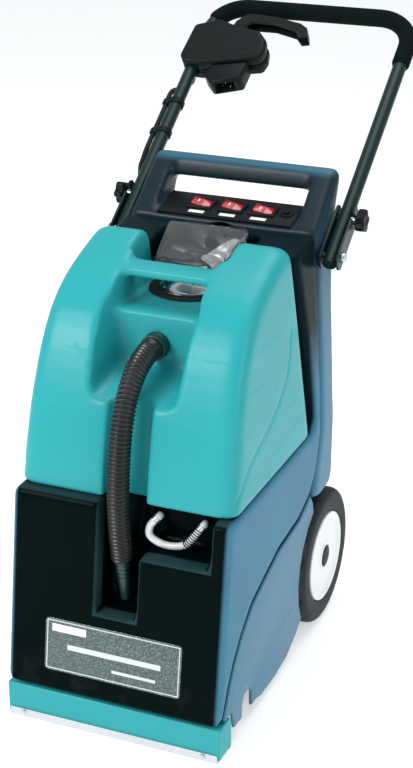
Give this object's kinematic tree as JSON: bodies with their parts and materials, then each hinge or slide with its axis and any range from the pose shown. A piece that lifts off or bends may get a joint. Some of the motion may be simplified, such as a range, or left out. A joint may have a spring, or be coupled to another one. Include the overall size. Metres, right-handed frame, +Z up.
{
  "type": "carpet cleaner machine",
  "caption": "Upright carpet cleaner with a lift-off recovery tank, vacuum shoe, driven brush, wheels, folding handle, trigger lever and rocker switches.",
  "frame": {"origin": "on the floor under the vacuum shoe's front glide, on the centre plane", "axes": "+Z up, +Y to the back (towards the handle), +X to the right seen from the front"},
  "size_m": [0.36, 0.7332, 0.8005],
  "materials": {
    "gloss_black": "glossy black moulded plastic",
    "slate": "satin slate blue moulded plastic",
    "teal": "satin turquoise moulded plastic",
    "steel": "brushed steel",
    "zinc": "zinc plated steel",
    "white": "white moulded plastic",
    "black_plastic": "black moulded plastic",
    "rubber": "black rubber",
    "tyre": "dark moulded tread",
    "foam": "dark foam sleeve",
    "red": "glossy red",
    "clear": "clear moulded plastic",
    "bristle": "nylon bristle",
    "copper": "rotor and impeller",
    "brass": "plain brass",
    "dark_green": "dark green plastic",
    "handle_paint": "very dark green powder coat",
    "label": "sparkling teal label with a silver edge"
  },
  "bodies": {
    "chassis": {"main_body": "gloss_black", "skirt_left": "slate", "skirt_right": "slate", "rear_housing": "slate", "exhaust_grille": "black_plastic", "control_panel": "black_plastic", "label_plate": "label", "vac_shoe": "teal", "shoe_lip": "steel", "shoe_screw_left": "zinc", "shoe_screw_right": "zinc", "chassis_tray": "black_plastic", "axle": "steel", "brush_housing": "black_plastic", "brush_bearing_left": "brass", "brush_bearing_right": "brass", "brush_motor": "steel", "drive_belt": "rubber", "vacuum_case": "steel", "pump": "black_plastic", "spray_bar": "brass", "solution_tank": "white", "suction_duct": "black_plastic", "level_hose": "clear", "bracket_left": "handle_paint", "bracket_right": "handle_paint", "pivot_bolt_left": "zinc", "pivot_bolt_right": "zinc", "cable_tail": "rubber"},
    "rocker_left": {"rocker_left": "red"},
    "rocker_middle": {"rocker_middle": "red"},
    "rocker_right": {"rocker_right": "red"},
    "reset_button": {"reset_button": "black_plastic"},
    "wheel_left": {"wheel_left": "white", "tyre_left": "tyre"},
    "wheel_right": {"wheel_right": "white", "tyre_right": "tyre"},
    "brush": {"brush_core": "white", "brush_bristles": "bristle"},
    "motor_pulley": {"motor_pulley": "zinc"},
    "vacuum_fan": {"vacuum_fan": "copper"},
    "recovery_tank": {"recovery_tank": "teal", "drain_collar": "dark_green", "dome_seal": "rubber", "float_cage": "white", "drain_hose": "rubber", "drain_plug": "dark_green"},
    "dome": {"dome": "clear"},
    "float_ball": {"float_ball": "red"},
    "handle": {"handle_tube": "handle_paint", "foam_grip": "foam", "switch_box_front": "black_plastic", "switch_box_back": "black_plastic", "mains_inlet": "black_plastic", "switch_cable": "rubber", "cable_clip_upper": "white", "cable_clip_lower": "white"},
    "trigger_lever": {"trigger_lever": "black_plastic"},
    "knob_left": {"knob_left": "black_plastic"},
    "knob_right": {"knob_right": "black_plastic"}
  },
  "joints": [
    {"name": "tank_lift", "type": "slide", "parent": "chassis", "child": "recovery_tank", "axis": [0, -0.2498, 0.9683], "range_m": [0, 0.36]},
    {"name": "dome_lift", "type": "slide", "parent": "recovery_tank", "child": "dome", "axis": [0, 0, 1], "range_m": [0, 0.06]},
    {"name": "float_rise", "type": "slide", "parent": "recovery_tank", "child": "float_ball", "axis": [0, 0, 1], "range_m": [0, 0.03]},
    {"name": "handle_fold", "type": "hinge", "parent": "chassis", "child": "handle", "pos_m": [0, 0.351, 0.546], "axis": [1, 0, 0], "range_deg": [0, 50]},
    {"name": "trigger_press", "type": "hinge", "parent": "handle", "child": "trigger_lever", "pos_m": [-0.106, 0.64671, 0.75306], "axis": [0, -0.5736, 0.8192], "range_deg": [0, 9], "stiffness_Nm_per_rad": 1.2, "springref_deg": -17.19},
    {"name": "knob_left_turn", "type": "hinge", "parent": "handle", "child": "knob_left", "pos_m": [0, 0.40179, 0.58156], "axis": [1, 0, 0], "range_deg": [0, 720]},
    {"name": "knob_right_turn", "type": "hinge", "parent": "handle", "child": "knob_right", "pos_m": [0, 0.40179, 0.58156], "axis": [-1, 0, 0], "range_deg": [0, 720]},
    {"name": "wheel_left_spin", "type": "hinge", "parent": "chassis", "child": "wheel_left", "pos_m": [0, 0.367, 0.097], "axis": [1, 0, 0], "continuous": true},
    {"name": "wheel_right_spin", "type": "hinge", "parent": "chassis", "child": "wheel_right", "pos_m": [0, 0.367, 0.097], "axis": [1, 0, 0], "continuous": true},
    {"name": "brush_spin", "type": "hinge", "parent": "chassis", "child": "brush", "pos_m": [0, 0.073, 0.0325], "axis": [1, 0, 0], "continuous": true},
    {"name": "motor_spin", "type": "hinge", "parent": "chassis", "child": "motor_pulley", "pos_m": [0, 0.166, 0.078], "axis": [1, 0, 0], "continuous": true},
    {"name": "fan_spin", "type": "hinge", "parent": "chassis", "child": "vacuum_fan", "pos_m": [0, 0.28, 0.1], "axis": [0, 0, 1], "continuous": true},
    {"name": "rocker_left_tilt", "type": "hinge", "parent": "chassis", "child": "rocker_left", "pos_m": [-0.041, 0.37189, 0.58814], "axis": [0, -0.9788, -0.2049], "range_deg": [0, 14]},
    {"name": "rocker_middle_tilt", "type": "hinge", "parent": "chassis", "child": "rocker_middle", "pos_m": [0.003, 0.37189, 0.58814], "axis": [0, -0.9788, -0.2049], "range_deg": [0, 14]},
    {"name": "rocker_right_tilt", "type": "hinge", "parent": "chassis", "child": "rocker_right", "pos_m": [0.047, 0.37189, 0.58814], "axis": [0, -0.9788, -0.2049], "range_deg": [0, 14]},
    {"name": "reset_press", "type": "slide", "parent": "chassis", "child": "reset_button", "axis": [0, 0.2049, -0.9788], "range_m": [0, 0.003], "stiffness_N_per_m": 400, "springref_m": -0.002}
  ],
  "couplings": [
    {"joint": "motor_spin", "follows": "brush_spin", "ratio": 1.5789}
  ]
}
